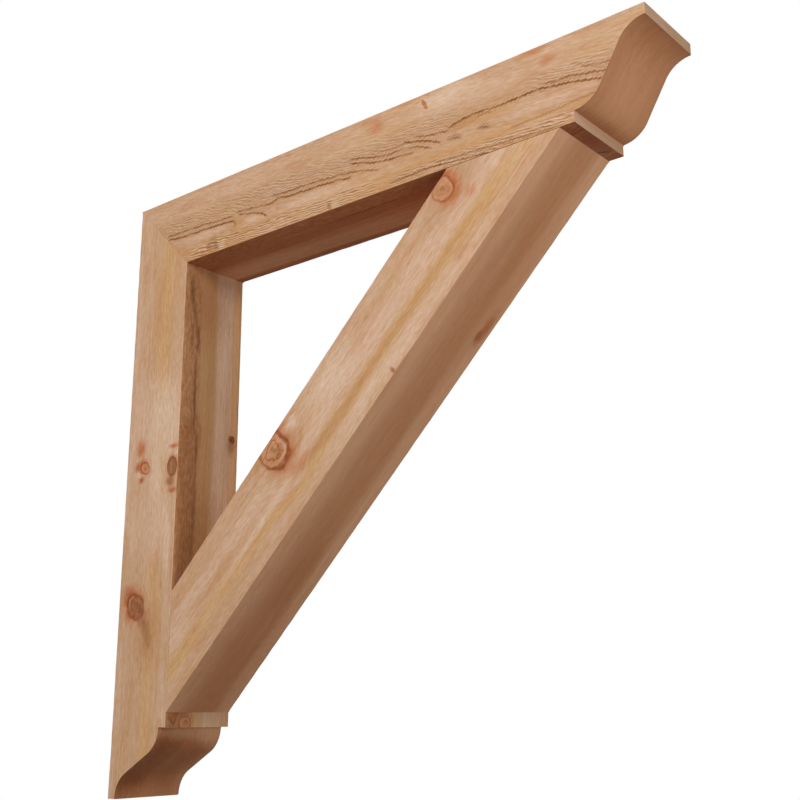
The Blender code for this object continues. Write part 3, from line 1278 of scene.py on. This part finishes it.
def arm_finishes(grain: Grain, extent: tuple[float, float]) -> tuple[WoodFinish, ...]:
    """The arm's finishes, as the leg's."""
    side = WoodFinish(
        "arm_side_wood", grain, Face.SIDE, extent,
        ((0.0, Tone.SAND), (0.3, Tone.SAND), (0.45, Tone.TAN), (0.7, Tone.TAN), (0.82, Tone.HONEY),
         (1.0, Tone.HONEY)),
        marks=(
            Smudge(0.735, 0.020, 0.065, 0.024, Tone.PALE, 0.7),
            Smudge(0.80, 0.035, 0.08, 0.016, Tone.BLUSH, 0.6),
            Smudge(0.180, 0.098, 0.085, 0.011, Tone.BLUSH, 0.75),
            Smudge(0.305, 0.103, 0.038, 0.010, Tone.BLUSH, 0.75),
            Smudge(0.450, 0.103, 0.090, 0.011, Tone.BLUSH, 0.75),
            Smudge(0.720, 0.100, 0.10, 0.012, Tone.SAND, 0.6),
            Smudge(0.920, 0.094, 0.10, 0.012, Tone.BLUSH, 0.5),
            Smudge(0.790, 0.074, 0.100, 0.018, Tone.HONEY, 0.8),
            Smudge(0.755, 0.075, 0.036, 0.010, Tone.OCHRE, 0.9),
            Smudge(0.746, 0.0935, 0.014, 0.0055, Tone.TOBACCO, 0.6, lean=0.15),
            Smudge(0.798, 0.0940, 0.011, 0.0055, Tone.TOBACCO, 0.6, lean=0.15),
            Smudge(0.272, 0.100, 0.024, 0.009, Tone.HONEY, 0.9),
            Smudge(0.264, 0.098, 0.0035, 0.009, Tone.TOBACCO, 0.5, lean=-0.3),
            Smudge(0.330, 0.096, 0.014, 0.005, Tone.HONEY, 0.9, lean=0.3),
            Smudge(0.203, 0.121, 0.012, 0.018, Tone.TOBACCO, 0.6, lean=0.8),
            Smudge(0.216, 0.127, 0.0060, 0.010, Tone.UMBER, 0.65, lean=-0.5),
            Smudge(0.4905, 0.130, 0.0050, 0.010, Tone.TOBACCO, 0.7, lean=-0.4),
            Smudge(0.232, 0.130, 0.010, 0.008, Tone.PALE, 0.7),
            Smudge(0.503, 0.133, 0.010, 0.007, Tone.PALE, 0.7),
            Smudge(0.740, 0.128, 0.130, 0.010, Tone.SAND, 0.7),
            Smudge(0.592, 0.025, 0.020, 0.014, Tone.AMBER, 0.6),
            Smudge(0.575, 0.008, 0.035, 0.008, Tone.AMBER, 0.45),
            Smudge(0.640, 0.004, 0.030, 0.004, Tone.AMBER, 0.45),
            Smudge(0.912, 0.027, 0.016, 0.009, Tone.AMBER, 0.6),
            Smudge(0.885, 0.005, 0.030, 0.007, Tone.AMBER, 0.7),
            Smudge(0.185, 0.132, 0.024, 0.006, Tone.AMBER, 0.9),
            Knot(0.689, 0.019, 0.0100, 0.0030, Tone.AMBER, lean=1.15, rim=0.35, glow=0.4),
            Knot(0.345, 0.088, 0.016, 0.014, Tone.OCHRE, rim=0.6, opposite=True),
            Knot(0.620, 0.040, 0.012, 0.011, Tone.OCHRE, rim=0.6, opposite=True),
        ),
        warm=Tone.STRAW, torn=True, slant=0.08,
    )
    edge = WoodFinish(
        "arm_edge_wood", grain, Face.EDGE, extent,
        ((0.0, Tone.CHESTNUT), (0.42, Tone.CHESTNUT), (0.52, Tone.CLAY), (0.64, Tone.ROSE), (0.83, Tone.ROSE),
         (0.92, Tone.CHESTNUT), (1.0, Tone.CHESTNUT)),
        back_stripes=((0.0, Tone.SAND), (0.5, Tone.TAN), (1.0, Tone.SAND)),
        marks=(
            Smudge(0.540, -0.032, 0.130, 0.003, Tone.BARK, 0.5),
            Smudge(0.640, 0.0, 0.100, 0.080, Tone.CHESTNUT, 0.4),
            Smudge(0.942, 0.0, 0.030, 0.100, Tone.RUSSET, 0.85),
            Smudge(0.250, 0.030, 0.180, 0.030, Tone.PEACH, 0.6),
            Smudge(0.936, 0.038, 0.012, 0.004, Tone.BARK, 0.7, lean=0.5),
        ),
        strands=EVEN, warm=Tone.CLAY, pale=Tone.CLAY, mottle=0.2, drift=0.06, flecks=0.1, coarse=True,
        pith=(0.150, -0.050), slope=0.02, rings=0.3, ring_tone=Tone.RUSSET,
    )
    curve = WoodFinish(
        "arm_curve_wood", grain, Face.CURVE, extent,
        ((0.0, Tone.CLAY), (0.3, Tone.CORAL), (0.7, Tone.CORAL), (1.0, Tone.CLAY)),
        marks=(
            Smudge(1.055, 0.0, 0.040, 0.100, Tone.CHESTNUT, 0.6),
            Smudge(0.953, 0.0, 0.018, 0.100, Tone.CHESTNUT, 0.8),
        ),
        strands=EVEN, warm=Tone.CLAY, pale=Tone.CLAY, mottle=0.3, rings=0.0, flecks=0.1,
    )
    square = WoodFinish(
        "arm_square_wood", grain, Face.SQUARE, extent, ((0.0, Tone.BLUSH), (1.0, Tone.SAND)),
        strands=EVEN, rings=0.0, flecks=0.1,
    )
    return side, edge, curve, square


def brace_finishes(grain: Grain, extent: tuple[float, float]) -> tuple[WoodFinish, ...]:
    """The brace's finishes, as the leg's, but for the cuts that it doesn't have."""
    side = WoodFinish(
        "brace_side_wood", grain, Face.SIDE, extent,
        ((0.0, Tone.SAND), (0.16, Tone.SAND), (0.27, Tone.STRAW), (0.36, Tone.STRAW), (0.46, Tone.BLUSH),
         (0.62, Tone.BLUSH), (0.8, Tone.SAND), (1.0, Tone.SAND)),
        marks=(
            Smudge(0.610, 0.105, 0.090, 0.050, Tone.PALE, 0.5),
            Smudge(0.760, 0.016, 0.140, 0.022, Tone.BLUSH, 0.7),
            Smudge(0.950, 0.112, 0.090, 0.040, Tone.FAWN, 0.7),
            Smudge(0.420, 0.134, 0.060, 0.012, Tone.OCHRE, 0.5),
            Smudge(0.500, 0.050, 0.090, 0.009, Tone.OCHRE, 0.7),
            Smudge(0.560, 0.043, 0.120, 0.008, Tone.OCHRE, 0.6),
            Smudge(0.340, 0.054, 0.140, 0.007, Tone.PALE, 0.5),
            Smudge(0.300, 0.070, 0.160, 0.010, Tone.OCHRE, 0.35),
            Smudge(0.750, 0.045, 0.180, 0.008, Tone.OCHRE, 0.5),
            Smudge(0.505, 0.118, 0.020, 0.014, Tone.PALE, 0.7),
            Smudge(0.479, 0.056, 0.030, 0.010, Tone.AMBER, 0.5),
            Smudge(0.470, 0.084, 0.035, 0.010, Tone.OCHRE, 0.8),
            Smudge(0.220, 0.018, 0.140, 0.020, Tone.TAN, 0.8),
            Smudge(0.650, 0.018, 0.160, 0.018, Tone.PALE, 0.35),
            Smudge(0.969, 0.075, 0.014, 0.012, Tone.AMBER, 0.5),
            Smudge(0.690, 0.006, 0.004, 0.008, Tone.RUSSET, 0.8),
            Smudge(0.891, 0.023, 0.020, 0.010, Tone.AMBER, 0.4),
            Knot(
                0.4520, 0.1180, 0.030, 0.036, Tone.CLAY,
                rim=1.1, lean=0.2, towards=-0.9, glow=0.7, rings=0.8, crescent=0.4,
            ),
            Knot(
                0.9457, 0.1217, 0.019, 0.021, Tone.CLAY,
                rim=0.8, lean=0.2, towards=-0.8, glow=1.4, rings=0.35, crescent=0.15,
            ),
            Knot(0.360, 0.050, 0.018, 0.016, Tone.OCHRE, rim=0.6, opposite=True),
            Knot(0.780, 0.084, 0.014, 0.013, Tone.OCHRE, rim=0.6, opposite=True),
        ),
    )
    edge = WoodFinish(
        "brace_edge_wood", grain, Face.EDGE, extent,
        ((0.0, Tone.PEACH), (0.14, Tone.PEACH), (0.38, Tone.CLAY), (0.70, Tone.CLAY), (0.86, Tone.PEACH),
         (1.0, Tone.PEACH)),
        marks=(
            Smudge(0.10, 0.0, 0.30, 0.08, Tone.CHESTNUT, 0.4, opposite=True),
            Smudge(0.30, 0.01, 0.10, 0.03, Tone.CHESTNUT, 0.4, opposite=True),
            Smudge(0.60, -0.022, 0.60, 0.026, Tone.ROSE, 0.28, opposite=True),
            Smudge(0.86, 0.046, 0.20, 0.024, Tone.CORAL, 0.7, opposite=True),
            Smudge(0.803, 0.053, 0.034, 0.011, Tone.AMBER, 0.9, opposite=True),
            Smudge(0.787, 0.047, 0.014, 0.008, Tone.HAZEL, 0.6, opposite=True),
            Knot(0.4538, -0.062, 0.024, 0.012, Tone.SAND),
        ),
        strands=EVEN, warm=Tone.CLAY, pale=Tone.ROSE, mottle=0.3, rings=0.05, flecks=0.15,
    )
    return side, edge


def main() -> None:
    """Builds the timbers and the studio."""
    leg_low, leg_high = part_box("leg")
    arm_low, arm_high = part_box("arm")
    foot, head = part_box("brace")
    depth, width = leg_high.x, leg_high.y - leg_low.y
    extent = (depth, width)
    joint = arm_low.x
    corner = Vector((0, 0, arm_high.z))
    leg_grain = Grain(corner, Vector((0, 0, -1)), Vector((1, 0, 0)))
    arm_grain = Grain(corner, Vector((1, 0, 0)), Vector((0, 0, -1)))
    rake = Vector((head.x - foot.x, 0, head.z - foot.z))
    along = rake.normalized()
    brace_grain = Grain(Vector((foot.x, 0, foot.z)), along, Vector((-along.z, 0, along.x)))

    plain = Sawing()
    torn = Sawing(
        tears=arm_tears(),
        boards=(
            Washboard(0.06, 0.78, 0.042, 0.082, 0.0005, strength=1.2),
            Washboard(0.12, 0.62, 0.110, 0.140, 0.0005, strength=1.6, pitch=0.0046, dash=0.060, slant=0.0),
            Washboard(0.60, 1.0, 0.116, 0.140, 0.0006, strength=1.7, pitch=0.0044, dash=0.045, slant=0.05),
            Washboard(0.86, 1.05, 0.040, 0.078, 0.0004, strength=1.0),
        ),
    )
    leg = OgeeTimber(
        "leg", leg_grain, corner.z - leg_low.z, depth, width, joint=joint,
        near=plain, far=plain, edges=plain, finishes=leg_finishes(leg_grain, extent),
    )
    arm = OgeeTimber(
        "arm", arm_grain, arm_high.x, depth, width, joint=joint,
        near=torn, far=plain, edges=plain, finishes=arm_finishes(arm_grain, extent),
        lines=270, columns=20, rows=50, step_rows=6, near_cuts=3,
    )
    brace = Timber(
        "brace", brace_grain, rake.length, depth, width,
        near=plain, far=plain, edges=plain, finishes=brace_finishes(brace_grain, extent),
    )
    for timber in (leg, arm, brace):
        timber.build()

    studio = Studio(Vector((0.45, 0, 0)))
    studio.camera()
    studio.floor()
    studio.lamp("key", (1.4, -4.2, 1.8), size=1.8, power=172)
    studio.lamp("fill", (2.4, -0.35, -0.35), size=1.2, power=14.5)
    studio.lamp("back", (-2.6, 3.0, 2.2), size=2.6, power=180)
    studio.sky(ambient=0.20, tint=(1.0, 0.88, 0.76, 1.0))


if __name__ == "__main__":
    logging.basicConfig(level=logging.INFO, format="%(name)s: %(message)s")
    main()
